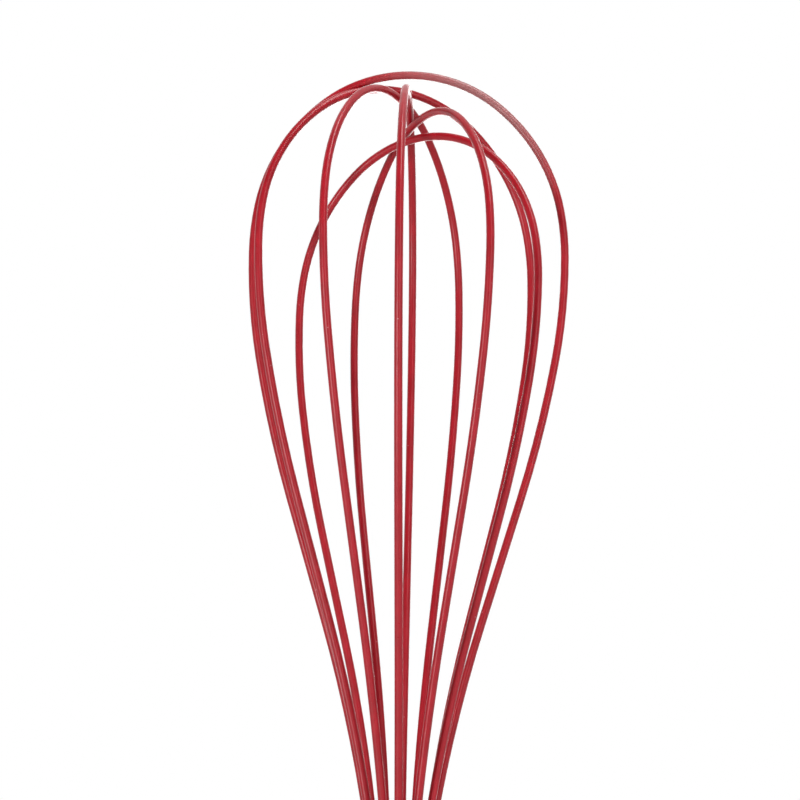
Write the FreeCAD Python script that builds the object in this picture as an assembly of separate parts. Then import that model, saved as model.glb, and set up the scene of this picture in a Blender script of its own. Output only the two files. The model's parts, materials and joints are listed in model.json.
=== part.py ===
import FreeCAD, Part
import os
from math import asin, atan2, cos, pi, radians, sin, sqrt

# Balloon whisk: six looped steel wires in silicone sleeves, held in a steel tube handle.
# Millimetres. The whisk's axis is Z, with the wire head up. The origin is on the axis, at
# the middle of the straight grip of the handle.

V = FreeCAD.Vector
UP = V(0, 0, 1)

# ---- wires ------------------------------------------------------------------------------
core_d = 1.4  # steel wire
sleeve_wall = 0.3  # silicone on the wire, each side
sleeve_d = core_d + 2 * sleeve_wall
leg_circle_r = 7.4  # the twelve legs enter the handle on this circle

# ---- wire head --------------------------------------------------------------------------
head_width = 79.8  # over the widest loop, outside to outside
head_height = 194.6  # mouth of the handle to the middle of the topmost wire
crown_turn = 39.0  # degrees of the first arc, from the top of a loop
shoulder_turn = 41.0  # degrees of the second arc
crown_round = 0.88  # radius of the first arc, for each mm of a loop's half width
shoulder_round = 1.18  # radius of the second arc, for each mm of half width
flank_r = 150.0  # below the widest point, where a loop starts to close in
neck_r = 72.0  # the short bend at the mouth, back to upright
end_share = 0.85  # how much of a loop's mean slope the flank and neck arcs each take
bend_share = 0.92  # how much of the way between them bends; the rest is straight
waist_share = 0.45  # the waist's radius as a share of the waist's and the flare's together

# Each loop, outermost first: its name, its turn about Z, how much less its half width is
# than the widest one's, the free height between its top and the wire above, how far it leans
# out of its own plane, and how far it sways within it (degrees). loop_4 sways so far that the
# loops above cross it beside its top, so that height is less than nothing.
loops = [
    # name     turn  inset  gap   lean  sway
    ("loop_1", 0.7, 0.0, 0.0, -0.68, 0.07),
    ("loop_2", 24.8, 1.3, 0.9, 0.76, -0.7),
    ("loop_3", 62.0, 2.9, 0.3, 0.78, -1.35),
    ("loop_4", 87.1, 2.7, -0.5, 0.08, -1.96),
    ("loop_5", 117.1, 2.8, 1.7, -0.92, -0.75),
    ("loop_6", 147.7, 3.8, 1.9, -1.63, 0.07),
]

# ---- handle -----------------------------------------------------------------------------
grip_length = 60.0  # straight cylinder, with its middle at the origin
grip_swell = 0.5  # how much wider its radius is than the neck's
swell_length = 5.0  # from the neck to the grip
tail_length = 21.0  # from the grip to the end cap, drawn in
tail_draw = 2.0  # how much the tube's radius shrinks there
tube_wall = 0.8
groove_r = 0.8  # the two rolled rings on the neck
groove_depth = 0.25
groove_step = 3.4

# ---- front of the handle ----------------------------------------------------------------
slip = 0.05  # free gap, each side, of a pressed or poured piece
hole_slip = 0.03  # the same, around a wire
plug_rim = 1.2  # plug material outside the sleeves
seal_length = 4.0
seal_crown = 1.2  # how far the seal stands out of the mouth
seal_edge_r = 0.5
holder_length = 8.0
sleeve_depth = 7.0  # how far the sleeves go in below the mouth
leg_depth = 17.0  # how far the steel wires go in
band_gap = 0.8  # resin between the holder and the crimp band
band_length = 3.6
band_wall = 0.6
resin_below = 3.0  # resin past the wire ends
collar_length = 8.5
collar_wall = 0.7
collar_lip = 0.8  # thickness of the lip that covers the tube's edge
collar_cover = 0.6  # how far the lip reaches in over the seal
collar_edge_r = 0.35

# ---- end cap and hanging ring -----------------------------------------------------------
cap_skirt = 8.0  # inside the tube
cap_wall = 1.0
cap_dome = 4.5  # height of the dome below the tube
tongue_thick = 3.0
tongue_width = 7.0
tongue_drop = 4.6  # from the dome's tip to the middle of the ring's hole
ring_d = 2.0  # ring wire
ring_r = 9.0  # to the middle of the ring wire
ring_slip = 0.3  # free gap round the ring wire in its hole

# ---- what follows from them -------------------------------------------------------------
neck_length = leg_depth + resin_below
neck_end_z = grip_length / 2 + swell_length
mouth_z = neck_end_z + neck_length
grip_end_z = -grip_length / 2
tail_z = grip_end_z - tail_length
widest = (head_width - sleeve_d) / 2
plug_r = leg_circle_r + sleeve_d / 2 + plug_rim
bore_r = plug_r + slip
tube_r = bore_r + tube_wall
grip_r = tube_r + grip_swell
tail_r = grip_r - tail_draw
holder_top = mouth_z - seal_length - slip
holder_bottom = holder_top - holder_length
sway_room = leg_depth * max(sin(radians(abs(loop[5]))) for loop in loops)
ring_z = tail_z - cap_dome - tongue_drop
ring_hole_r = ring_d / 2 + ring_slip + tongue_thick**2 / (8 * ring_r)


# ---- loops ------------------------------------------------------------------------------
def arc_edge(start, heading, radius, turn):
    """An arc in the XZ plane. heading is its direction below +X, and turn adds to it."""
    side = 1 if turn > 0 else -1
    centre = start + V(-side * radius * sin(heading), 0, -side * radius * cos(heading))

    def at(angle):
        return centre + V(side * radius * sin(angle), 0, side * radius * cos(angle))

    edge = Part.Arc(start, at(heading + turn / 2), at(heading + turn)).toShape()
    return edge, at(heading + turn), heading + turn


def loop_half(half_width, height):
    """Arcs and straight runs of half a loop, from its top down to the mouth.

    Each is (radius, turn in radians), or (length, None) for the straight run. Three arcs
    make the crown. The flank arc and the neck arc turn by the same fixed share of the mean
    slope. Between them an inward bend (waist), a straight run and an outward bend (flare)
    close the outline, with radii that leave the straight run its share.
    """
    first, second = radians(crown_turn), radians(shoulder_turn)
    r1, r2 = crown_round * half_width, shoulder_round * half_width
    reach = r1 * sin(first) + r2 * (sin(first + second) - sin(first))
    r3 = (half_width - reach) / (1 - sin(first + second))
    drop = r1 * (1 - cos(first)) + r2 * (cos(first) - cos(first + second))
    drop += r3 * cos(first + second)

    inward, down = half_width - leg_circle_r, height - drop
    end_turn = end_share * atan2(inward, down)
    inward -= (flank_r + neck_r) * (1 - cos(end_turn))
    down -= (flank_r + neck_r) * sin(end_turn)
    chord = inward**2 + down**2
    bends = bend_share * chord / (2 * (cos(end_turn) * inward - sin(end_turn) * down))
    run = sqrt((1 - bend_share) * chord)
    steep = atan2(bends * sin(end_turn) + down, bends * cos(end_turn) - inward)
    slope = steep - atan2(run, bends)
    return [
        (r1, first),
        (r2, second),
        (r3, pi / 2 - first - second),
        (flank_r, end_turn),
        (waist_share * bends, slope - end_turn),
        (run, None),
        ((1 - waist_share) * bends, end_turn - slope),
        (neck_r, -end_turn),
    ]


def half_path(half_width, height, leg):
    """The edges of half a loop in the XZ plane, mouth at z = 0, with a straight leg below."""
    point, heading, edges = V(0, 0, height), 0.0, []
    for size, turn in loop_half(half_width, height):
        if turn is None:
            end = point + V(cos(heading), 0, -sin(heading)) * size
            edges.append(Part.makeLine(point, end))
            point = end
        else:
            edge, point, heading = arc_edge(point, heading, size, turn)
            edges.append(edge)
    edges.append(Part.makeLine(point, point + V(0, 0, -leg)))
    return edges


def ring_face(centre, outer_r, inner_r=0.0):
    """A flat disc or ring that faces along +X, to be swept."""
    face = Part.Face(Part.Wire(Part.makeCircle(outer_r, centre, V(1, 0, 0))))
    if inner_r:
        hole = Part.Face(Part.Wire(Part.makeCircle(inner_r, centre, V(1, 0, 0))))
        face = face.cut(hole).Faces[0]
    return face


def sweep_loop(half_width, height, leg, outer_r, inner_r=0.0):
    """The whole loop: the section is swept down one half, and the other is its mirror."""
    path = Part.Wire(half_path(half_width, height, leg))
    half = path.makePipe(ring_face(V(0, 0, height), outer_r, inner_r))
    whole = half.fuse(half.mirror(V(0, 0, 0), V(1, 0, 0)))
    expected = 2 * path.Length * pi * (outer_r**2 - inner_r**2)
    assert abs(whole.Volume / expected - 1) < 1e-6, "swept volume"
    return whole.removeSplitter()


def place_loop(shape, turn, lean, sway):
    """Sways and leans a loop about the middle of the mouth, then turns it to its bearing."""
    shape = shape.copy()
    shape.rotate(V(0, 0, 0), V(0, 1, 0), sway)
    shape.rotate(V(0, 0, 0), V(1, 0, 0), -lean)
    shape.rotate(V(0, 0, 0), UP, turn)
    shape.translate(V(0, 0, mouth_z))
    return shape


def leg_pins(radius, top, bottom):
    """Round pins along all twelve legs, from top to bottom above the mouth, to cut holes."""
    pins = []
    for name, turn, inset, gap, lean, sway in loops:
        for side in (1, -1):
            foot = V(side * leg_circle_r, 0, bottom)
            pin = Part.makeCylinder(radius, top - bottom, foot)
            pins.append(place_loop(pin, turn, lean, sway))
    return pins


# ---- turned pieces ----------------------------------------------------------------------
def turned(points):
    """A solid of revolution about Z. points are (radius, z), and (radius, z, mid_radius, mid_z)
    where an arc through the middle point leads to the point."""
    edges = []
    here = points[-1]
    for point in points:
        start, end = V(here[0], 0, here[1]), V(point[0], 0, point[1])
        if len(point) == 4:
            edges.append(Part.Arc(start, V(point[2], 0, point[3]), end).toShape())
        elif (start - end).Length > 1e-7:
            edges.append(Part.makeLine(start, end))
        here = point
    face = Part.Face(Part.Wire(edges))
    return face.revolve(V(0, 0, 0), UP, 360)


def ogee(top_r, top_z, low_r, low_z, inset):
    """Two equal tangent arcs from one cylinder down to another, as points for turned().

    The outside of the tube runs from top_r at top_z to low_r at low_z, and inset moves the
    curve in by the wall.
    """
    length, step = top_z - low_z, low_r - top_r
    radius = (length**2 + step**2) / (4 * abs(step))
    turn = asin(length / (2 * radius))
    side = 1 if step > 0 else -1

    def upper(angle):
        size = radius + side * inset
        return top_r + side * (radius - size * cos(angle)), top_z - size * sin(angle)

    def lower(angle):
        size = radius - side * inset
        return low_r - side * (radius - size * cos(angle)), low_z + size * sin(angle)

    return [(*upper(turn), *upper(turn / 2)), (*lower(0), *lower(turn / 2))]


def reverse(start, points):
    """The same arcs as points for turned(), run back to where they start."""
    (mid_r, mid_z, a_r, a_z), (end_r, end_z, b_r, b_z) = points
    return [(end_r, end_z), (mid_r, mid_z, b_r, b_z), (*start, a_r, a_z)]


def make_tube():
    points = [(bore_r, mouth_z), (tube_r, mouth_z)]
    half = sqrt(groove_r**2 - (groove_r - groove_depth) ** 2)
    for i in (1, 2):
        z = mouth_z - collar_length - i * groove_step
        points += [(tube_r, z + half), (tube_r, z - half, tube_r - groove_depth, z)]
    swell = (tube_r, neck_end_z, grip_r, grip_length / 2)
    tail = (grip_r, grip_end_z, tail_r, tail_z)
    points += [(tube_r, neck_end_z), *ogee(*swell, 0), (grip_r, grip_end_z), *ogee(*tail, 0)]
    points += reverse((grip_r - tube_wall, grip_end_z), ogee(*tail, tube_wall))
    points += reverse((bore_r, neck_end_z), ogee(*swell, tube_wall))
    return turned(points)


def make_collar():
    """A pressed ring on the mouth, with a lip over the tube's edge and the seal's rim."""
    inside, outside = tube_r + slip, tube_r + slip + collar_wall
    top = mouth_z + slip + collar_lip
    points = [(bore_r - collar_cover, mouth_z + slip)]
    points += [(inside, mouth_z + slip), (inside, mouth_z - collar_length)]
    points += [(outside - collar_edge_r, mouth_z - collar_length)]
    k = collar_edge_r * (1 - sqrt(0.5))
    low = mouth_z - collar_length
    points += [(outside, low + collar_edge_r, outside - k, low + k)]
    points += [(outside, top - collar_edge_r)]
    points += [(outside - collar_edge_r, top, outside - k, top - k)]
    points += [(bore_r - collar_cover, top)]
    return turned(points)


def make_seal():
    """The silicone grommet that fills the mouth between the wires."""
    crown_r = bore_r - collar_cover - slip
    top = mouth_z + seal_crown
    k = seal_edge_r * (1 - sqrt(0.5))
    low = mouth_z - seal_length
    points = [(0, low), (plug_r, low), (plug_r, mouth_z), (crown_r, mouth_z)]
    points += [(crown_r, top - seal_edge_r)]
    points += [(crown_r - seal_edge_r, top, crown_r - k, top - k), (0, top)]
    holes = leg_pins(sleeve_d / 2 + hole_slip, 2 * seal_crown, -seal_length - 1)
    return turned(points).cut(holes)


def make_holder():
    """The nylon plug: twelve stepped bores, wide for the sleeves and narrow for the steel."""
    plug = Part.makeCylinder(plug_r, holder_length, V(0, 0, holder_bottom))
    wide = leg_pins(sleeve_d / 2 + hole_slip, 0, -sleeve_depth - slip)
    narrow = leg_pins(core_d / 2 + hole_slip, 0, -leg_depth)
    return plug.cut(wide + narrow)


def make_band(grow=0.0):
    """The crimp band round the wire ends; grow makes the pocket for it in the resin."""
    inner = leg_circle_r + core_d / 2 + sway_room + slip
    top = holder_bottom - slip - band_gap
    foot, length = V(0, 0, top - band_length - grow), band_length + 2 * grow
    outer = Part.makeCylinder(inner + band_wall + grow, length, foot)
    return outer.cut(Part.makeCylinder(inner - grow, length, foot))


def make_resin():
    top = holder_bottom - slip
    fill = Part.makeCylinder(plug_r, top - neck_end_z, V(0, 0, neck_end_z))
    holes = leg_pins(core_d / 2 + hole_slip, 0, -leg_depth - hole_slip)
    return fill.cut(holes + [make_band(hole_slip)])


def make_end_cap():
    """A domed cap pressed into the tail, with a tongue that carries the hanging ring."""
    skirt_r = tail_r - tube_wall - slip
    skirt_top = tail_z + cap_skirt
    dome_r = (tail_r**2 + cap_dome**2) / (2 * cap_dome)
    dome_z = tail_z - cap_dome + dome_r
    half = asin(tail_r / dome_r) / 2
    bulge = (dome_r * sin(half), dome_z - dome_r * cos(half))
    points = [(0, tail_z - cap_dome), (tail_r, tail_z - slip, *bulge)]
    points += [(skirt_r, tail_z - slip), (skirt_r, skirt_top), (skirt_r - cap_wall, skirt_top)]
    points += [(skirt_r - cap_wall, tail_z + cap_wall), (0, tail_z + cap_wall)]
    cap = turned(points)
    width, left = tongue_width, -tongue_thick / 2
    top = tail_z - slip
    tongue = Part.makeBox(tongue_thick, width, top - ring_z, V(left, -width / 2, ring_z))
    end = Part.makeCylinder(width / 2, tongue_thick, V(left, 0, ring_z), V(1, 0, 0))
    hole = Part.makeCylinder(ring_hole_r, tongue_thick + 2, V(left - 1, 0, ring_z), V(1, 0, 0))
    return cap.fuse([tongue, end]).removeSplitter().cut(hole)


def make_ring():
    return Part.makeTorus(ring_r, ring_d / 2, V(0, 0, ring_z - ring_r), V(0, 1, 0))


# ---- build ------------------------------------------------------------------------------
def build():
    parts = {}
    height = head_height + sleeve_d
    for name, turn, inset, gap, lean, sway in loops:
        height -= sleeve_d + gap
        half_width = widest - inset
        core = sweep_loop(half_width, height, leg_depth, core_d / 2)
        sleeve = sweep_loop(half_width, height, sleeve_depth, sleeve_d / 2, core_d / 2)
        parts[name + "_wire"] = place_loop(core, turn, lean, sway)
        parts[name + "_sleeve"] = place_loop(sleeve, turn, lean, sway)
    parts["mouth_seal"] = make_seal()
    parts["wire_holder"] = make_holder()
    parts["crimp_band"] = make_band()
    parts["potting_resin"] = make_resin()
    parts["handle_tube"] = make_tube()
    parts["mouth_collar"] = make_collar()
    parts["end_cap"] = make_end_cap()
    parts["hanging_ring"] = make_ring()
    return parts


os.makedirs("parts", exist_ok=True)
for node, shape in build().items():
    if not shape.isValid() or len(shape.Solids) != 1:
        raise ValueError(node + " is not one valid solid")
    shape.exportStep("parts/" + node + ".step")
    box = shape.optimalBoundingBox()
    print(f"{node}: {shape.Volume:.2f} mm3, z {box.ZMin:.2f} to {box.ZMax:.2f}")
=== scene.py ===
# %% [markdown]
# # A balloon whisk
#
# The whisk is six loops of spring wire in red silicone sleeves, held in a steel handle. Its
# construction comes in as a frame of separate pieces at their real size, in metres: the
# whisk's axis points up +Z and the origin is at the middle of the grip. Those shapes stay as
# they are. This file gives every piece its finish, models the small details that finishing
# leaves behind, such as moulded lips and weld beads, and lights it all in a plain studio.

# %% The frame
import json
from math import atan2, cos, pi, radians, sin

import bpy
from mathutils import Matrix, Vector


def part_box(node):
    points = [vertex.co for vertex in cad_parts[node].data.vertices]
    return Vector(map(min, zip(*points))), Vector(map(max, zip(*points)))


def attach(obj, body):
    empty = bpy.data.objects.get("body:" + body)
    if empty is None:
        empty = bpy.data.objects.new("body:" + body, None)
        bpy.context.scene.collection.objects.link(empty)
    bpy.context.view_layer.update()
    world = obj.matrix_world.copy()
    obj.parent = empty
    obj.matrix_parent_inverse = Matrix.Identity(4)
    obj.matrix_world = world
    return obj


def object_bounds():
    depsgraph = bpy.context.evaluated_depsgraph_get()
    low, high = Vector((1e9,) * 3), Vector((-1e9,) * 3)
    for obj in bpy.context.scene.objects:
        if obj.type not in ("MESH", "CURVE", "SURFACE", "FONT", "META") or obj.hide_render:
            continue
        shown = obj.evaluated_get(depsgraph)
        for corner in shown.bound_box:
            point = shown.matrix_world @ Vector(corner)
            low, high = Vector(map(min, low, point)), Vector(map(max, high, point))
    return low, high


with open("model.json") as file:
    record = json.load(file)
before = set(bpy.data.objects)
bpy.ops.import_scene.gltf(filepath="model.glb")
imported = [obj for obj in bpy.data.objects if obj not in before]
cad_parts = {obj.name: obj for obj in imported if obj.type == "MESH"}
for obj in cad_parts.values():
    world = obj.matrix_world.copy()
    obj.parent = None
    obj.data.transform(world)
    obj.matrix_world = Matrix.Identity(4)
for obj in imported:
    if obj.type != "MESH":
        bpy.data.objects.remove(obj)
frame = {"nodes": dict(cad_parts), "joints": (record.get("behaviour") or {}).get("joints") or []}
cad_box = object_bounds()
nodes = frame["nodes"]
mouth_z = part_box("handle_tube")[1].z
top_z = cad_box[1][2]
lowest_z = cad_box[0][2]
print(len(nodes), "pieces, from", round(lowest_z, 4), "to", round(top_z, 4), "m")

# %% [markdown]
# ## The camera
#
# The whisk is looked at from the front and from a little below its head, so its crown is
# seen from underneath and the loops at the back sit lower than those in front. The camera
# could stand far off with a longer lens, but half a metre gives the real perspective of a
# close product view. It rolls a little, which leans the head to the right. The lens's shift
# stays at zero, because the tilt alone does the framing.

# %% Camera
camera_distance = 0.5753
camera_drop = 0.0235  # below the mouth of the handle
camera_side = -0.0015
tilt_up = radians(13.12)
roll = radians(0.83)

camera_data = bpy.data.cameras.new("front_camera")
camera_data.lens = 107.87
camera_data.sensor_width = 36.0
camera = bpy.data.objects.new("front_camera", camera_data)
bpy.context.scene.collection.objects.link(camera)
turn = Matrix.Rotation(pi / 2 + tilt_up, 4, "X") @ Matrix.Rotation(roll, 4, "Z")
place = Vector((camera_side, -camera_distance, mouth_z - camera_drop))
camera.matrix_world = Matrix.Translation(place) @ turn
bpy.context.scene.camera = camera
bpy.context.scene.view_settings.view_transform = "Standard"
print("camera at", [round(v, 4) for v in place], "lens", camera_data.lens)


# %% [markdown]
# ## Helpers for materials
#
# Each finish below is a tree of nodes, and a few helpers keep those trees readable. They
# start a material, add a node with its settings, join two sockets, carry a value from one
# range to another, mix two colours, do one sum, and turn a height into a bump. Every
# pattern reads Object coordinates, which are metres here, so a scale of 1000 gives a pattern
# about a millimetre across and it stays fixed to the piece when the piece moves.

# %% Material helpers
def new_material(name):
    """A material with its node tree and its Principled shader."""
    material = bpy.data.materials.new(name)
    material.use_nodes = True
    tree = material.node_tree
    return material, tree, tree.nodes["Principled BSDF"]


def add_node(tree, kind, inputs=None, **settings):
    """A node of that kind, with its settings and the values of its inputs."""
    made = tree.nodes.new(kind)
    for key, value in settings.items():
        setattr(made, key, value)
    for key, value in (inputs or {}).items():
        made.inputs[key].default_value = value
    return made


def join(tree, source, target):
    """Joins an output socket to an input socket."""
    tree.links.new(source, target)


def remap(tree, source, low, high, to_low, to_high):
    """A value taken from one range to another, held at the ends. Returns its output."""
    ends = {"From Min": low, "From Max": high, "To Min": to_low, "To Max": to_high}
    made = add_node(tree, "ShaderNodeMapRange", ends)
    join(tree, source, made.inputs["Value"])
    return made.outputs["Result"]


def mix_colour(tree, share, first, second):
    """A colour between two. Each is a colour or a socket, and share is a socket or a number."""
    made = add_node(tree, "ShaderNodeMix", data_type="RGBA")
    # A colour mix has its share at input 0, its colours at 6 and 7, and its result at output 2.
    for value, target in ((share, 0), (first, 6), (second, 7)):
        if isinstance(value, bpy.types.NodeSocket):
            join(tree, value, made.inputs[target])
        else:
            made.inputs[target].default_value = value
    return made.outputs[2]


def calculate(tree, operation, first, second):
    """Two values put through one sum. Each is a socket or a number. Returns the output."""
    made = add_node(tree, "ShaderNodeMath", operation=operation)
    for index, value in enumerate((first, second)):
        if isinstance(value, bpy.types.NodeSocket):
            join(tree, value, made.inputs[index])
        else:
            made.inputs[index].default_value = value
    return made.outputs[0]


def add_bump(tree, shader, height, distance, strength=1.0):
    """Feeds a height through a Bump node into the shader's normal. Distance is in metres."""
    bump = add_node(tree, "ShaderNodeBump", {"Strength": strength, "Distance": distance})
    join(tree, height, bump.inputs["Height"])
    join(tree, bump.outputs["Normal"], shader.inputs["Normal"])


print("helpers are ready")

# %% [markdown]
# ## The studio
#
# The floor is a plain pale sheet. Near the whisk it takes light and shadow like paper. Far
# out it would turn grey and end in a hard horizon, so for what the camera sees, and for what
# metal reflects, it fades to plain white with distance. The world behind it is white to
# those same rays, but gives the object only a little light of its own.

# %% Floor
floor_gap = 0.0004  # between the lowest point and the sheet
fade_start = 0.16
fade_end = 0.75  # metres from the whisk at which the sheet is plain white
bpy.ops.object.select_all(action="DESELECT")
bpy.ops.mesh.primitive_plane_add(size=40.0, location=(0, 0, 0))
floor = bpy.context.object
floor.name = "floor"
bpy.ops.object.mode_set(mode="EDIT")
bpy.ops.transform.translate(value=(0, 0, lowest_z - floor_gap))
bpy.ops.object.mode_set(mode="OBJECT")


def seen_rays(tree):
    """1 for the rays that show the background: camera, glossy and transmission rays."""
    path = add_node(tree, "ShaderNodeLightPath")
    shown = calculate(tree, "MAXIMUM", path.outputs["Is Camera Ray"], path.outputs["Is Glossy Ray"])
    return calculate(tree, "MAXIMUM", shown, path.outputs["Is Transmission Ray"])


floor_paint, tree, shader = new_material("pale_floor")
shader.inputs["Roughness"].default_value = 0.7
shader.inputs["Specular IOR Level"].default_value = 0.2
where = add_node(tree, "ShaderNodeTexCoord")
flat = add_node(tree, "ShaderNodeVectorMath", {1: (1, 1, 0)}, operation="MULTIPLY")
join(tree, where.outputs["Object"], flat.inputs[0])
reach = add_node(tree, "ShaderNodeVectorMath", operation="LENGTH")
join(tree, flat.outputs["Vector"], reach.inputs[0])
paper = add_node(tree, "ShaderNodeTexNoise", {"Scale": 90.0, "Detail": 4.0})
join(tree, where.outputs["Object"], paper.inputs["Vector"])
paper_tone = remap(tree, paper.outputs["Fac"], 0.3, 0.7, 0.0, 1.0)
tone = mix_colour(tree, paper_tone, (0.79, 0.79, 0.79, 1), (0.81, 0.81, 0.81, 1))
join(tree, tone, shader.inputs["Base Color"])
fade = remap(tree, reach.outputs["Value"], fade_start, fade_end, 0.0, 1.0)
white_share = calculate(tree, "MULTIPLY", fade, seen_rays(tree))
glow = add_node(tree, "ShaderNodeEmission", {"Color": (1, 1, 1, 1), "Strength": 1.0})
blend = add_node(tree, "ShaderNodeMixShader")
join(tree, white_share, blend.inputs[0])
join(tree, shader.outputs[0], blend.inputs[1])
join(tree, glow.outputs[0], blend.inputs[2])
join(tree, blend.outputs[0], tree.nodes["Material Output"].inputs["Surface"])
floor.data.materials.append(floor_paint)
print("floor at", round(lowest_z - floor_gap, 4))

# %% [markdown]
# ## The world round it
#
# A product is often shot in a dim room in front of a bright sweep. A picture of such a room
# could light it, but the direction of a ray is enough: the world is dim on the near side and
# white on the far side, so that glossy wires keep a deep red in front and get a pale edge
# at the back.

# %% World
ambient = 0.12  # the light that reaches every side
room = 0.12  # what the camera's side shows in a reflection
room_y = -0.35  # the direction's Y at which the dim room begins
sweep_y = 0.25  # and at which the white sweep begins
world = bpy.data.worlds.new("studio")
bpy.context.scene.world = world
world.use_nodes = True
sky = world.node_tree
sky.nodes["Background"].inputs["Color"].default_value = (1, 1, 1, 1)
way = add_node(sky, "ShaderNodeTexCoord")
axes = add_node(sky, "ShaderNodeSeparateXYZ")
join(sky, way.outputs["Generated"], axes.inputs[0])
sweep = remap(sky, axes.outputs["Y"], room_y, sweep_y, room, 1.0)
sweep = calculate(sky, "MULTIPLY", sweep, seen_rays(sky))
lit = calculate(sky, "MAXIMUM", sweep, ambient)
camera_ray = add_node(sky, "ShaderNodeLightPath").outputs["Is Camera Ray"]
level = calculate(sky, "MAXIMUM", lit, camera_ray)
join(sky, level, sky.nodes["Background"].inputs["Strength"])
print("world gives", ambient, "of light and shows as white")


# %% [markdown]
# ## The lamps
#
# A white sweep behind the product throws light forward, so the edges of each wire and the
# upper side of the crown catch a pale rim. A long box overhead on the right keeps the right
# sides soft and even. A narrow box low on the left draws the thin bright line that runs
# down the left of each front wire, and a weak fill stands at the front on the right. Area
# lamps are used for all of them because their edges are soft, as a real softbox's are.

# %% Lamps
head_middle = Vector((0, 0, (mouth_z + top_z) / 2))


def add_lamp(name, place, size, power):
    """A soft rectangular lamp at a place, facing the head and hidden from the camera."""
    data = bpy.data.lights.new(name, "AREA")
    data.shape = "RECTANGLE"
    data.size, data.size_y = size
    data.energy = power
    lamp = bpy.data.objects.new(name, data)
    bpy.context.scene.collection.objects.link(lamp)
    facing = (head_middle - Vector(place)).to_track_quat("-Z", "Y").to_matrix().to_4x4()
    lamp.matrix_world = Matrix.Translation(place) @ facing
    lamp.visible_camera = False
    print(name, "gives", power, "W")


add_lamp("sweep_light", (0.06, 0.85, 0.36), (0.5, 0.75), 7.0)
add_lamp("overhead_box", (0.24, -0.36, 0.88), (0.14, 0.7), 4.2)
add_lamp("left_strip", (-0.5, -0.69, 0.06), (0.05, 0.45), 4.0)
add_lamp("front_fill", (0.5, -0.72, 0.3), (0.45, 0.45), 1.7)

# %% [markdown]
# ## Surface effects that several finishes share
#
# A finish is more than one colour. Silicone has a faint mottle from its pigment, a fine
# moulded grain, and a few specks of dust. Brushed steel has lines. Anything that is handled
# carries smudges and hairline scratches. Each of these is a node group with named inputs and
# outputs, built once, so that every material can place it with its own values. A group gives
# out masks and values only, and the shader that uses them stays in the material.

# %% Group helper
def new_group(name, inputs, outputs):
    """A shader node group with number inputs and outputs. Returns the group and its ends."""
    group = bpy.data.node_groups.new(name, "ShaderNodeTree")
    number = "NodeSocketFloat"
    for label, value in inputs.items():
        socket = group.interface.new_socket(name=label, in_out="INPUT", socket_type=number)
        socket.default_value = value
    for label in outputs:
        group.interface.new_socket(name=label, in_out="OUTPUT", socket_type=number)
    start = add_node(group, "NodeGroupInput")
    end = add_node(group, "NodeGroupOutput")
    return group, start, end


def object_vector(tree, stretch=(1, 1, 1), shift=(0, 0, 0)):
    """Object coordinates in metres, stretched along the axes. Returns the output."""
    coordinates = add_node(tree, "ShaderNodeTexCoord")
    mapping = add_node(tree, "ShaderNodeMapping", {"Scale": stretch, "Location": shift})
    join(tree, coordinates.outputs["Object"], mapping.inputs["Vector"])
    return mapping.outputs["Vector"]


def noise(tree, vector, scale, detail=2.0, roughness=0.5):
    """A noise texture's value. Scale is a socket or a number."""
    made = add_node(tree, "ShaderNodeTexNoise", {"Detail": detail, "Roughness": roughness})
    join(tree, vector, made.inputs["Vector"])
    if isinstance(scale, bpy.types.NodeSocket):
        join(tree, scale, made.inputs["Scale"])
    else:
        made.inputs["Scale"].default_value = scale
    return made.outputs["Fac"]


print("group helpers are ready")

# %% [markdown]
# ### Skin of the silicone
#
# Drawn silicone shows its pigment as a slow mottle, faint streaks from the die along the wire,
# a fine grain in the gloss and a few pores. Each is a noise or a cell pattern at its own
# scale, and the streaks are the same noise with its Z axis squeezed.

# %% Silicone skin
skin_masks = ("Mottle", "Streaks", "Grain", "Pores")
skin, start, end = new_group("silicone_skin", {"Grain Scale": 2200.0}, skin_masks)
mottle = noise(skin, object_vector(skin), 160.0, 3.0)
join(skin, remap(skin, mottle, 0.32, 0.68, 0.0, 1.0), end.inputs["Mottle"])
streaks = noise(skin, object_vector(skin, (1, 1, 0.05), (0.3, 0.1, 0.2)), 1700.0, 2.0)
join(skin, remap(skin, streaks, 0.3, 0.7, 0.0, 1.0), end.inputs["Streaks"])
grain = noise(skin, object_vector(skin), start.outputs["Grain Scale"], 3.0, 0.6)
join(skin, grain, end.inputs["Grain"])
pores = add_node(skin, "ShaderNodeTexVoronoi", {"Scale": 1500.0})
join(skin, object_vector(skin), pores.inputs["Vector"])
join(skin, remap(skin, pores.outputs["Distance"], 0.12, 0.26, 1.0, 0.0), end.inputs["Pores"])
print("silicone_skin gives", [socket.name for socket in end.inputs if socket.name])

# %% [markdown]
# ### Dust
#
# Soft rubber holds on to dust. Specks could be scattered as tiny meshes, but a cell pattern
# is cheaper: a few cells are picked by their random colour, and only the middle of each
# picked cell is a speck.

# %% Dust specks
dust, start, end = new_group("dust_specks", {"Amount": 0.35, "Size": 0.05}, ("Specks",))
cells = add_node(dust, "ShaderNodeTexVoronoi", {"Scale": 420.0})
join(dust, object_vector(dust, shift=(0.7, 0.2, 0.4)), cells.inputs["Vector"])
chance = add_node(dust, "ShaderNodeSeparateColor")
join(dust, cells.outputs["Color"], chance.inputs[0])
picked = calculate(dust, "LESS_THAN", chance.outputs[0], start.outputs["Amount"])
near = calculate(dust, "LESS_THAN", cells.outputs["Distance"], start.outputs["Size"])
join(dust, calculate(dust, "MULTIPLY", picked, near), end.inputs["Specks"])
print("dust_specks is built")

# %% [markdown]
# ### Lines of a brush
#
# The abrasive belt runs round the tube and leaves lines that are long round it and very short
# along it. Noise that is stretched hard along Z gives both a fine and a coarse set.

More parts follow.
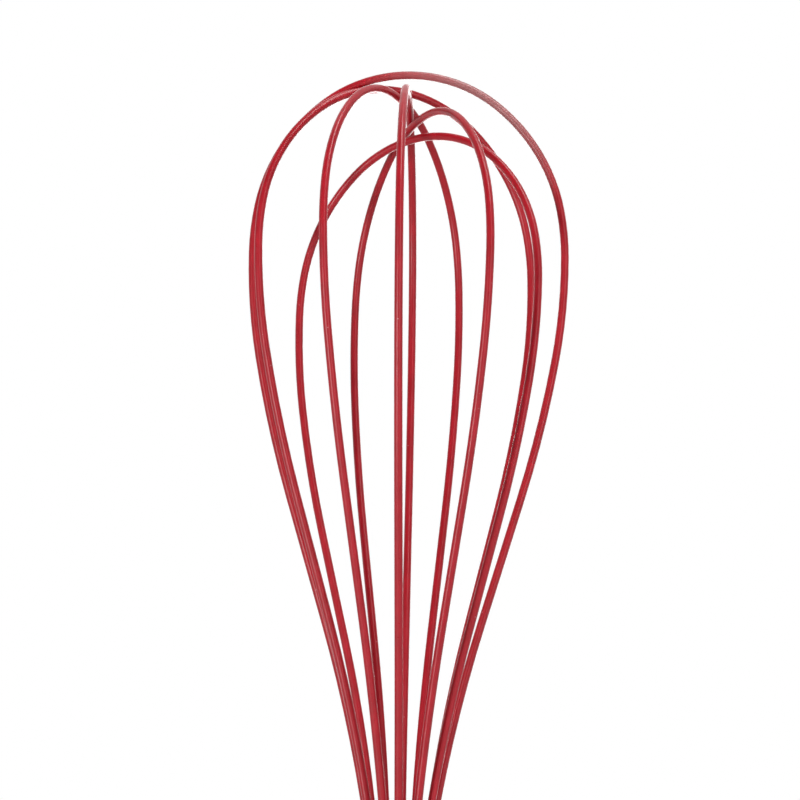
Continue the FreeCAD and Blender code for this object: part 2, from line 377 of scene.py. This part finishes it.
# %% Brushed lines
brushed, start, end = new_group("brushed_lines", {"Line Scale": 1.0}, ("Fine", "Coarse"))
line_scale = start.outputs["Line Scale"]
fine = noise(brushed, object_vector(brushed, (40, 40, 9000)), line_scale, 3.0, 0.6)
join(brushed, remap(brushed, fine, 0.3, 0.7, 0.0, 1.0), end.inputs["Fine"])
coarse = noise(brushed, object_vector(brushed, (14, 14, 1400)), line_scale, 2.0)
join(brushed, remap(brushed, coarse, 0.35, 0.65, 0.0, 1.0), end.inputs["Coarse"])
print("brushed_lines is built")

# %% [markdown]
# ### Marks of handling
#
# Fingers leave wide soft smudges, and washing up leaves hairlines that run in more than one
# direction. The smudges are a broad noise, and each set of hairlines keeps only the highest
# peaks of a noise that is stretched its own way.

# %% Handling marks
mark_masks = ("Smudges", "Scratches")
handled, start, end = new_group("handling_marks", {"Smudge Scale": 95.0}, mark_masks)
smudge_scale = start.outputs["Smudge Scale"]
smudge_place = object_vector(handled, shift=(0.4, 0.9, 0.1))
smudge = noise(handled, smudge_place, smudge_scale, 4.0, 0.55)
join(handled, remap(handled, smudge, 0.46, 0.66, 0.0, 1.0), end.inputs["Smudges"])
first = noise(handled, object_vector(handled, (30, 900, 240)), 3.0, 1.0)
second = noise(handled, object_vector(handled, (700, 60, 160), (0.2, 0.2, 0.0)), 3.0, 1.0)
line_starts = 0.695  # only the highest peaks of the noise become hairlines
line_full = 0.72
first_line = remap(handled, first, line_starts, line_full, 0.0, 1.0)
second_line = remap(handled, second, line_starts, line_full, 0.0, 1.0)
join(handled, calculate(handled, "MAXIMUM", first_line, second_line), end.inputs["Scratches"])
print("handling_marks is built")


# %% [markdown]
# ### Placing a group
#
# A group is placed in a material as one node and given that material's own values. The second
# helper puts a finished material on the pieces of the frame.

# %% Place a group in a material
def place_group(tree, group, inputs=None):
    """The group as a node in a material, with its own values."""
    made = tree.nodes.new("ShaderNodeGroup")
    made.node_tree = group
    for label, value in (inputs or {}).items():
        made.inputs[label].default_value = value
    return made


def dress(piece_names, material):
    """Puts a material in every slot of those pieces."""
    for name in piece_names:
        for slot in nodes[name].material_slots:
            slot.material = material
    print(material.name, "on", len(piece_names), "pieces")


# %% [markdown]
# ## Red silicone on the wires
#
# The sleeves are drawn silicone with pigment right through. It is a deep red that is nearly
# without green or blue, with a soft satin gloss, and its colour hardly varies: a slow mottle,
# faint streaks along the wire from the die, and a few pale specks of dust that cling to it.
# The grain could be modelled, but at a tenth of a millimetre a bump does the same.
#
# One side of the outermost loop's crown is paler, a chalky pink: a painted sheen, standing in
# for the light from above that catches it there. That may be a light on it, or wear where it rubs
# against a bowl, and which one is a guess. A lamp could do it, but aimed there it made the red
# glare, so a mask that fades with the distance from one spot mixes a painted pale sheen into the
# colour. The other five sleeves stay red.

# %% Red silicone
# The spot where a pale sheen is painted on the outer crown in place of light from above, and where
# that painted sheen is full and where it ends.
painted_sheen_spot = (0.0205, 0.001, 0.246)
painted_sheen_core = 0.008  # metres from the spot that are fully pale
painted_sheen_reach = 0.033  # and at which the red is whole again


def red_silicone(name, sheen_amount):
    """Satin red silicone. Sheen amount is how strongly a pale sheen is painted on its crown, from 0
    to 1.
    """
    material, tree, shader = new_material(name)
    shader.inputs["Specular IOR Level"].default_value = 0.4
    skin_node = place_group(tree, skin)
    dust_node = place_group(tree, dust)
    deep = (0.375, 0.005, 0.013, 1)
    bright = (0.465, 0.009, 0.021, 1)
    colour = mix_colour(tree, skin_node.outputs["Mottle"], deep, bright)
    streak_share = remap(tree, skin_node.outputs["Streaks"], 0.0, 1.0, 0.0, 0.3)
    colour = mix_colour(tree, streak_share, colour, (0.32, 0.008, 0.017, 1))
    if sheen_amount:
        # Painted sheen: near the spot a chalky pale pink is mixed into the red, standing in for
        # light on the crown.
        away = add_node(tree, "ShaderNodeVectorMath", {1: painted_sheen_spot}, operation="DISTANCE")
        join(tree, object_vector(tree), away.inputs[0])
        near = remap(tree, away.outputs["Value"], painted_sheen_core, painted_sheen_reach, sheen_amount, 0.0)
        patchy = remap(tree, skin_node.outputs["Streaks"], 0.0, 1.0, 0.8, 1.0)
        sheen_share = calculate(tree, "MULTIPLY", near, patchy)
        colour = mix_colour(tree, sheen_share, colour, (0.42, 0.19, 0.19, 1))
    colour = mix_colour(tree, dust_node.outputs["Specks"], colour, (0.62, 0.33, 0.33, 1))
    join(tree, colour, shader.inputs["Base Color"])
    gloss = remap(tree, skin_node.outputs["Grain"], 0.3, 0.7, 0.27, 0.38)
    join(tree, gloss, shader.inputs["Roughness"])
    add_bump(tree, shader, skin_node.outputs["Grain"], 0.00003, 0.5)
    return material


outer_sleeve = "loop_1_sleeve"
inner_sleeves = [name for name in nodes if name.endswith("_sleeve") and name != outer_sleeve]
dress(inner_sleeves, red_silicone("red_silicone", 0.0))
# The outer sleeve carries the painted pale sheen on its crown.
dress([outer_sleeve], red_silicone("red_silicone_painted_sheen", 0.9))

# %% [markdown]
# ## The moulded seal
#
# The grommet in the mouth is cast from the same red silicone, in a blasted mould, so it is
# a shade flatter than the drawn sleeves and covered in fine pores.

# %% Seal silicone
seal_red, tree, shader = new_material("seal_silicone")
shader.inputs["Specular IOR Level"].default_value = 0.22
shader.inputs["Sheen Weight"].default_value = 0.1
shader.inputs["Sheen Roughness"].default_value = 0.5
skin_node = place_group(tree, skin, {"Grain Scale": 1500.0})
dust_node = place_group(tree, dust, {"Amount": 0.5, "Size": 0.06})
deep = (0.34, 0.008, 0.015, 1)
bright = (0.41, 0.011, 0.02, 1)
mottled = mix_colour(tree, skin_node.outputs["Mottle"], deep, bright)
pitted = mix_colour(tree, skin_node.outputs["Pores"], mottled, (0.28, 0.006, 0.012, 1))
dusted = mix_colour(tree, dust_node.outputs["Specks"], pitted, (0.6, 0.34, 0.34, 1))
join(tree, dusted, shader.inputs["Base Color"])
rough = remap(tree, skin_node.outputs["Grain"], 0.3, 0.7, 0.48, 0.62)
join(tree, rough, shader.inputs["Roughness"])
depth = calculate(tree, "SUBTRACT", skin_node.outputs["Grain"], skin_node.outputs["Pores"])
add_bump(tree, shader, depth, 0.00004, 0.6)
dress(["mouth_seal"], seal_red)

# %% [markdown]
# ## Brushed steel on the handle
#
# The tube is turned against an abrasive belt, so its lines run round it, and a highlight
# spreads across them into a long vertical band. Real lines are microns deep. Noise that is
# squeezed hard along the axis draws them, anisotropy spreads the reflection, and smudges
# and hairlines from the hand break up the gloss.

# %% Brushed tube
tube_steel, tree, shader = new_material("brushed_tube")
shader.inputs["Metallic"].default_value = 1.0
shader.inputs["Anisotropic"].default_value = 0.5
lines = place_group(tree, brushed)
marks = place_group(tree, handled)
dark_steel = (0.44, 0.437, 0.43, 1)
pale_steel = (0.55, 0.546, 0.538, 1)
line_grey = (0.66, 0.655, 0.647, 1)
grease_grey = (0.36, 0.353, 0.34, 1)
bare_scratch = (0.85, 0.85, 0.85, 1)
line_share = remap(tree, lines.outputs["Fine"], 0, 1, 0, 0.35)
grease_share = remap(tree, marks.outputs["Smudges"], 0, 1, 0, 0.18)
scratch_share = remap(tree, marks.outputs["Scratches"], 0, 1, 0, 0.4)
base = mix_colour(tree, lines.outputs["Coarse"], dark_steel, pale_steel)
lined = mix_colour(tree, line_share, base, line_grey)
greased = mix_colour(tree, grease_share, lined, grease_grey)
scratched = mix_colour(tree, scratch_share, greased, bare_scratch)
join(tree, scratched, shader.inputs["Base Color"])
rough = remap(tree, lines.outputs["Fine"], 0, 1, 0.27, 0.4)
rough = calculate(tree, "ADD", rough, remap(tree, marks.outputs["Smudges"], 0, 1, 0.0, 0.07))
join(tree, rough, shader.inputs["Roughness"])
height = calculate(tree, "SUBTRACT", lines.outputs["Fine"], marks.outputs["Scratches"])
add_bump(tree, shader, height, 0.000006, 0.5)
dress(["handle_tube"], tube_steel)


# %% [markdown]
# ## Polished steel
#
# The collar, the end cap and the hanging ring are buffed. Buffing leaves soft swirls in the
# gloss and the odd hairline, and the ring, which swings on a hook, is the most rubbed.

# %% Polished steels
smear_grey = (0.5, 0.49, 0.47, 1)


def steel_grey(level):
    """A steel colour at a level of grey, a little warmer than neutral."""
    return (level, level - 0.005, level - 0.015, 1)


def polished_steel(name, dark, light, low, high, swirl):
    """A buffed steel: its grey lies between two levels and its roughness between two."""
    material, tree, shader = new_material(name)
    shader.inputs["Metallic"].default_value = 1.0
    marks = place_group(tree, handled, {"Smudge Scale": 140.0})
    swirls = noise(tree, object_vector(tree), swirl, 3.0, 0.6)
    swirl_share = remap(tree, swirls, 0.3, 0.7, 0, 1)
    tone = mix_colour(tree, swirl_share, steel_grey(dark), steel_grey(light))
    smear_share = remap(tree, marks.outputs["Smudges"], 0, 1, 0, 0.15)
    dulled = mix_colour(tree, smear_share, tone, smear_grey)
    join(tree, dulled, shader.inputs["Base Color"])
    rough = remap(tree, swirls, 0.3, 0.7, low, high)
    smear_rough = remap(tree, marks.outputs["Smudges"], 0, 1, 0.0, 0.08)
    rough = calculate(tree, "ADD", rough, smear_rough)
    scratch_rough = remap(tree, marks.outputs["Scratches"], 0, 1, 0.0, 0.12)
    rough = calculate(tree, "ADD", rough, scratch_rough)
    join(tree, rough, shader.inputs["Roughness"])
    height = calculate(tree, "SUBTRACT", swirls, marks.outputs["Scratches"])
    add_bump(tree, shader, height, 0.000005, 0.35)
    return material


collar_steel = polished_steel("polished_steel", 0.52, 0.62, 0.12, 0.2, 500.0)
cap_steel = polished_steel("cap_steel", 0.49, 0.6, 0.14, 0.23, 420.0)
ring_steel = polished_steel("ring_steel", 0.47, 0.62, 0.13, 0.26, 700.0)
dress(["mouth_collar"], collar_steel)
dress(["end_cap"], cap_steel)
dress(["hanging_ring"], ring_steel)

# %% [markdown]
# ## What is inside the handle
#
# The cores, the nylon holder, the crimp band and the resin are hidden once the whisk is
# assembled, but a part that is taken apart shows them, so each gets its real finish too.

# %% Drawn wire and crimp band
wire_steel, tree, shader = new_material("steel_wire")
shader.inputs["Metallic"].default_value = 1.0
drawn = noise(tree, object_vector(tree, (1, 1, 0.02)), 4200.0, 2.0)
drawn_share = remap(tree, drawn, 0.3, 0.7, 0, 1)
tone = mix_colour(tree, drawn_share, steel_grey(0.5), steel_grey(0.64))
join(tree, tone, shader.inputs["Base Color"])
join(tree, remap(tree, drawn, 0.3, 0.7, 0.3, 0.42), shader.inputs["Roughness"])
add_bump(tree, shader, drawn, 0.000008, 0.5)
dress([name for name in nodes if name.endswith("_wire")], wire_steel)

band_steel, tree, shader = new_material("band_steel")
shader.inputs["Metallic"].default_value = 1.0
lines = place_group(tree, brushed, {"Line Scale": 0.6})
marks = place_group(tree, handled)
tone = mix_colour(tree, lines.outputs["Coarse"], steel_grey(0.47), steel_grey(0.58))
scratched = mix_colour(tree, marks.outputs["Scratches"], tone, (0.75, 0.75, 0.75, 1))
join(tree, scratched, shader.inputs["Base Color"])
join(tree, remap(tree, lines.outputs["Fine"], 0, 1, 0.34, 0.46), shader.inputs["Roughness"])
add_bump(tree, shader, lines.outputs["Fine"], 0.00001, 0.5)
dress(["crimp_band"], band_steel)

# %% Nylon and resin
nylon, tree, shader = new_material("nylon")
shader.inputs["Specular IOR Level"].default_value = 0.4
shader.inputs["Subsurface Weight"].default_value = 0.1
shader.inputs["Subsurface Scale"].default_value = 0.002
cloud = noise(tree, object_vector(tree), 180.0, 4.0)
cloud_share = remap(tree, cloud, 0.3, 0.7, 0, 1)
tone = mix_colour(tree, cloud_share, (0.66, 0.64, 0.57, 1), (0.74, 0.72, 0.66, 1))
join(tree, tone, shader.inputs["Base Color"])
fine_grain = noise(tree, object_vector(tree), 2600.0, 3.0)
join(tree, remap(tree, fine_grain, 0.3, 0.7, 0.42, 0.56), shader.inputs["Roughness"])
add_bump(tree, shader, fine_grain, 0.00002, 0.5)
dress(["wire_holder"], nylon)

resin, tree, shader = new_material("resin")
shader.inputs["Specular IOR Level"].default_value = 0.5
shader.inputs["Coat Weight"].default_value = 0.3
shader.inputs["Coat Roughness"].default_value = 0.08
cloud = noise(tree, object_vector(tree), 260.0, 3.0)
cloud_share = remap(tree, cloud, 0.3, 0.7, 0, 1)
tone = mix_colour(tree, cloud_share, (0.42, 0.26, 0.09, 1), (0.58, 0.4, 0.17, 1))
bubbles = add_node(tree, "ShaderNodeTexVoronoi", {"Scale": 900.0})
join(tree, object_vector(tree), bubbles.inputs["Vector"])
bubble = remap(tree, bubbles.outputs["Distance"], 0.1, 0.2, 1.0, 0.0)
join(tree, mix_colour(tree, bubble, tone, (0.66, 0.5, 0.27, 1)), shader.inputs["Base Color"])
join(tree, remap(tree, cloud, 0.3, 0.7, 0.14, 0.3), shader.inputs["Roughness"])
add_bump(tree, shader, bubble, 0.00003, 0.4)
dress(["potting_resin"], resin)

# %% [markdown]
# ## Moulded lips round the wires
#
# Where each wire leaves the seal, the moulding rises into a small rounded lip that wipes
# against the sleeve. The twelve lips are alike, so one is modelled: a circle just off the
# sleeve is extruded and scaled step by step over the crest and down to the seal's face, and
# its two ends are bridged under the face into a closed ring. Copies then go to each wire,
# where the sleeve's own mesh shows the place and the lean.

# %% Where the wires leave the seal
seal_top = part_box("mouth_seal")[1].z
ring_band = 0.0006  # points this close in height belong to one ring of the sleeve
leg_zone = 0.03  # how far above the seal the legs are still straight
leg_spread = 0.0075  # points nearer than this, seen from above, are of the same leg


def ring_middle(points, height):
    """The middle of the lowest ring of mesh points above a height."""
    above = [p for p in points if p.z > height]
    lowest = min(p.z for p in above)
    ring = [p for p in above if p.z < lowest + ring_band]
    return sum(ring, Vector()) / len(ring)


def wire_exits(sleeve_name):
    """Where a loop's two legs pass the seal's face, and the way each one points."""
    mesh = nodes[sleeve_name].data
    points = [v.co.copy() for v in mesh.vertices if v.co.z < seal_top + leg_zone]
    corner = min(points, key=lambda p: p.z)
    exits = []
    for same_leg in (True, False):
        leg = [p for p in points if ((p - corner).xy.length < leg_spread) == same_leg]
        foot = ring_middle(leg, 0.0)
        knee = ring_middle(leg, seal_top)
        along = (knee - foot).normalized()
        exits.append((foot + along * (seal_top - foot.z) / along.z, along))
    return exits


sleeves = sorted(name for name in nodes if name.endswith("_sleeve"))
legs = [leg for name in sleeves for leg in wire_exits(name)]
leg_radii = {round(spot.xy.length * 1000, 1) for spot, along in legs}
print(len(legs), "legs leave the seal at radii", sorted(leg_radii), "mm")


# %% Modelling helpers
def start_piece():
    """Deselects everything, so that an operator acts only on what comes next."""
    bpy.ops.object.select_all(action="DESELECT")


def step_out(shift, scale=(1, 1, 1)):
    """Extrudes the selected loop, moves it by a shift and scales it about its own middle."""
    bpy.ops.mesh.extrude_region_move(TRANSFORM_OT_translate={"value": shift})
    bpy.ops.transform.resize(value=scale)


def select_points(piece, chosen):
    """Leaves edit mode with only the chosen points selected, and comes back."""
    bpy.ops.mesh.select_mode(type="VERT")
    bpy.ops.mesh.select_all(action="DESELECT")
    bpy.ops.object.mode_set(mode="OBJECT")
    for point, wanted in zip(piece.data.vertices, chosen):
        point.select = wanted
    bpy.ops.object.mode_set(mode="EDIT")


def close_and_smooth(piece, angle=40):
    """Merges doubles, turns every face outwards and smooths the gentle angles."""
    bpy.ops.mesh.select_all(action="SELECT")
    bpy.ops.mesh.remove_doubles(threshold=0.000001)
    bpy.ops.mesh.normals_make_consistent(inside=False)
    bpy.ops.object.mode_set(mode="OBJECT")
    bpy.ops.object.transform_apply(location=True, rotation=True, scale=True)
    bpy.ops.object.shade_smooth_by_angle(angle=radians(angle))
    open_edges = len(piece.data.edges) * 2 - sum(len(f.vertices) for f in piece.data.polygons)
    print(piece.name, len(piece.data.polygons), "faces,", open_edges, "open edges")


# %% One lip
lip_profile = (  # radius and height in millimetres, from the sleeve over the crest and down
    (1.04, -0.4), (1.04, 0.26), (1.08, 0.38), (1.18, 0.45), (1.3, 0.41), (1.4, 0.27),
    (1.46, 0.08), (1.52, -0.05), (1.52, -0.4),
)
lip_sides = 36
start_piece()
first_r, first_z = lip_profile[0]
bpy.ops.mesh.primitive_circle_add(
    vertices=lip_sides, radius=first_r / 1000, fill_type="NOTHING", location=(0, 0, first_z / 1000)
)
lip = bpy.context.object
lip.name = "wire_lip_01"
bpy.ops.object.mode_set(mode="EDIT")
bpy.ops.mesh.select_mode(type="VERT")
for (r, z), (next_r, next_z) in zip(lip_profile, lip_profile[1:]):
    step_out((0, 0, (next_z - z) / 1000), (next_r / r, next_r / r, 1))
bpy.ops.mesh.select_all(action="DESELECT")
bpy.ops.mesh.select_non_manifold()
bpy.ops.mesh.bridge_edge_loops()
close_and_smooth(lip)

# %% A lip on every wire
lip_turn = 37  # degrees from one lip to the next, so that no two show the same facets
lips = [lip]
for number in range(2, len(legs) + 1):
    copy = bpy.data.objects.new("wire_lip_%02d" % number, lip.data.copy())
    bpy.context.scene.collection.objects.link(copy)
    lips.append(copy)
for number, (piece, (spot, along)) in enumerate(zip(lips, legs)):
    lean = along.to_track_quat("Z", "Y").to_matrix().to_4x4()
    spin = Matrix.Rotation(radians(lip_turn * number), 4, "Z")
    piece.data.transform(Matrix.Translation(spot) @ lean @ spin)
    piece.data.materials.append(seal_red)
    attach(piece, "whisk")
print(len(lips), "lips on the seal")

# %% [markdown]
# ## The weld in the hanging ring
#
# The ring is bent from wire and its two ends are butt-welded, which leaves a low swollen
# bead. A circle the size of the wire is spun a few degrees about the ring's middle, its ends
# are filled, and its sections are then swelled, most in the middle. It sits at the side of
# the ring, clear of the tongue.

# %% Ring weld
ring_low, ring_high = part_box("hanging_ring")
ring_middle_z = (ring_low.z + ring_high.z) / 2
wire_r = ring_high.y
ring_r = ring_high.x - wire_r
weld_span = radians(17)
weld_steps = 12
weld_at = radians(38)  # below the level of the ring's middle
weld_sides = 32
weld_start = 0.985  # of the wire's radius, so that the bead's ends sink into the ring
weld_swell = 0.11
weld_ripple = 0.012

start_piece()
bpy.ops.mesh.primitive_circle_add(
    vertices=weld_sides, radius=wire_r * weld_start, fill_type="NOTHING",
    location=(ring_r, 0, ring_middle_z)
)
weld = bpy.context.object
weld.name = "ring_weld"
bpy.ops.object.mode_set(mode="EDIT")
bpy.ops.mesh.select_all(action="SELECT")
bpy.ops.mesh.spin(
    steps=weld_steps, angle=weld_span, center=(0, 0, ring_middle_z), axis=(0, 1, 0), dupli=False
)
bpy.ops.mesh.select_all(action="SELECT")
bpy.ops.mesh.fill_holes(sides=0)
bpy.ops.object.mode_set(mode="OBJECT")
bpy.ops.object.transform_apply(location=True, rotation=True, scale=True)
turns = [atan2(v.co.z - ring_middle_z, v.co.x) for v in weld.data.vertices]
way_round = 1 if max(turns) > -min(turns) else -1

bpy.ops.object.mode_set(mode="EDIT")
for step in range(weld_steps + 1):
    angle = way_round * weld_span * step / weld_steps
    select_points(weld, [abs(turned - angle) < weld_span / weld_steps / 4 for turned in turns])
    section = (ring_r * cos(angle), 0, ring_middle_z + ring_r * sin(angle))
    ripple = weld_ripple if step % 2 else 0.0
    swell = 1 + weld_swell * sin(pi * step / weld_steps) ** 1.5 + ripple
    bpy.ops.transform.resize(value=(swell, swell, swell), center_override=section)
bpy.ops.mesh.select_all(action="SELECT")
bpy.ops.transform.rotate(value=-weld_at, orient_axis="Y", center_override=(0, 0, ring_middle_z))
close_and_smooth(weld)
weld.data.materials.append(ring_steel)
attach(weld, "hanger")

# %% [markdown]
# ## The bead at the end cap's tongue
#
# The tongue that carries the ring is brazed to the dome, and a fillet of metal runs round
# its foot. It starts as a rectangle the size of the tongue with rounded corners, and its
# edge is extruded outwards and up over the crest until it sinks into the dome.

# %% Tongue bead
hinge_z = frame["joints"][0]["pos_m"][2]
tongue_drop = 0.0046  # from the dome's tip to the middle of the hole
tongue_half = (0.0015, 0.0035)
corner_round = 0.0006
tip_z = hinge_z + tongue_drop
bead_profile = (  # spread beyond the tongue and height above the dome's tip, in millimetres
    (-0.1, -0.85), (0.12, -0.8), (0.34, -0.6), (0.58, -0.32), (0.86, -0.02), (1.05, 0.4),
    (1.05, 1.3),
)
start_piece()
bpy.ops.mesh.primitive_plane_add(size=0.002, location=(0, 0, tip_z + bead_profile[0][1] / 1000))
bead = bpy.context.object
bead.name = "tongue_bead"
bpy.ops.object.mode_set(mode="EDIT")
bpy.ops.mesh.select_all(action="SELECT")
first_out = bead_profile[0][0] / 1000
wide, deep = (half + first_out for half in tongue_half)
bpy.ops.transform.resize(value=(wide / 0.001, deep / 0.001, 1))
bpy.ops.mesh.bevel(offset=corner_round, segments=6, affect="VERTICES")
bpy.ops.mesh.select_all(action="SELECT")
bpy.ops.mesh.delete(type="ONLY_FACE")
bpy.ops.mesh.select_all(action="SELECT")
for (out, z), (next_out, next_z) in zip(bead_profile, bead_profile[1:]):
    grow = [(half + next_out / 1000) / (half + out / 1000) for half in tongue_half]
    step_out((0, 0, (next_z - z) / 1000), (grow[0], grow[1], 1))
bpy.ops.mesh.select_all(action="DESELECT")
bpy.ops.mesh.select_non_manifold()
bpy.ops.mesh.bridge_edge_loops()
close_and_smooth(bead, 50)
bead.data.materials.append(cap_steel)
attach(bead, "whisk")
